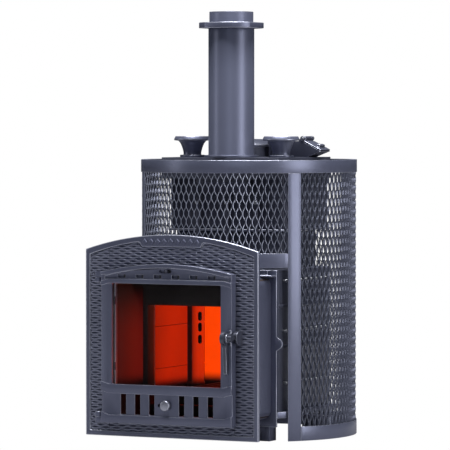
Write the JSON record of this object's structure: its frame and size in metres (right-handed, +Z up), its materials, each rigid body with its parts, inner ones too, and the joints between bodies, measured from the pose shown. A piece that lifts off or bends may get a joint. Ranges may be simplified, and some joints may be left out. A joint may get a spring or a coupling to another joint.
{
  "type": "sauna stove",
  "caption": "Wood-fired sauna stove: round mesh stone cage, fire tunnel with an arched portal and glazed door, water funnels, loading hatch and flue spigot.",
  "frame": {"origin": "on the floor, below the middle of the whole stove, from the door handle to the back of the cage", "axes": "+X to the right of the door, +Y from the door to the cage, +Z up"},
  "size_m": [0.57, 0.7965, 1.109],
  "materials": {
    "iron_paint": "heat-resistant graphite paint on cast iron and plate, satin, slightly blue",
    "cage_steel": "graphite paint on sheet and expanded steel, satin",
    "handle_iron": "smooth cast iron, satin black",
    "dark_iron": "sooty inner iron, matt",
    "hot_iron": "inner iron glowing red from the fire",
    "bare_steel": "bare steel",
    "rope_seal": "woven ceramic rope, dark with graphite and soot",
    "fire_glass": "clear heat-proof glass"
  },
  "bodies": {
    "stove": {"portal_plate": "iron_paint", "door_keeper": "handle_iron", "portal_knuckles": "iron_paint", "hinge_pins": "handle_iron", "door_gasket": "rope_seal", "fire_tunnel": "iron_paint", "tunnel_tabs": "iron_paint", "tunnel_flange": "iron_paint", "tunnel_bracket": "iron_paint", "tunnel_liner": "dark_iron", "portal_studs": "bare_steel", "base_tray": "iron_paint", "feet": "iron_paint", "firebox_left_wall": "iron_paint", "firebox_right_wall": "iron_paint", "firebox_back_wall": "iron_paint", "firebox_floor": "dark_iron", "firebox_roof": "iron_paint", "firebox_neck": "iron_paint", "wall_liners": "hot_iron", "heat_studs": "bare_steel", "fire_grate": "dark_iron", "ash_pan": "dark_iron", "air_columns": "hot_iron", "flame_baffle": "dark_iron", "heater_ledge": "iron_paint", "heater_shell": "iron_paint", "heater_breech": "iron_paint", "heater_ribs": "iron_paint", "rib_bolts": "bare_steel", "stone_box": "dark_iron", "heater_cap": "iron_paint", "centre_cover": "iron_paint", "hatch_hopper": "iron_paint", "hatch_pin": "bare_steel", "left_funnel": "iron_paint", "right_funnel": "iron_paint", "water_pipes": "bare_steel", "flue_pipe": "iron_paint", "flue_collar": "iron_paint", "cage_top_ring": "cage_steel", "cage_base_ring": "cage_steel", "left_post": "cage_steel", "right_post": "cage_steel", "cage_bar": "cage_steel", "front_mesh": "cage_steel", "side_mesh": "cage_steel", "cage_brackets": "cage_steel"},
    "door": {"door_frame": "iron_paint", "door_glass": "fire_glass", "glass_seal": "rope_seal", "glass_clips": "bare_steel", "air_liner": "dark_iron", "handle_bracket": "handle_iron"},
    "handle": {"door_handle": "handle_iron"},
    "air_control": {"air_plate": "dark_iron", "air_knob": "handle_iron"},
    "vent_control": {"vent_plate": "dark_iron", "vent_pin": "handle_iron"},
    "hatch_lid": {"hatch_flap": "iron_paint"}
  },
  "joints": [
    {"name": "door_hinge", "type": "hinge", "parent": "stove", "child": "door", "pos_m": [-0.199, -0.34975, 0.25], "axis": [0, 0, -1], "range_deg": [0, 115]},
    {"name": "handle_turn", "type": "hinge", "parent": "door", "child": "handle", "pos_m": [0.175, -0.38125, 0.281], "axis": [-1, 0, 0], "range_deg": [0, 75]},
    {"name": "air_slide", "type": "slide", "parent": "door", "child": "air_control", "axis": [1, 0, 0], "range_m": [-0.02, 0]},
    {"name": "vent_slide", "type": "slide", "parent": "door", "child": "vent_control", "axis": [1, 0, 0], "range_m": [-0.019, 0.008]},
    {"name": "hatch_hinge", "type": "hinge", "parent": "stove", "child": "hatch_lid", "pos_m": [0.142, 0.17325, 0.778], "axis": [0, -1, 0], "range_deg": [0, 120]}
  ]
}
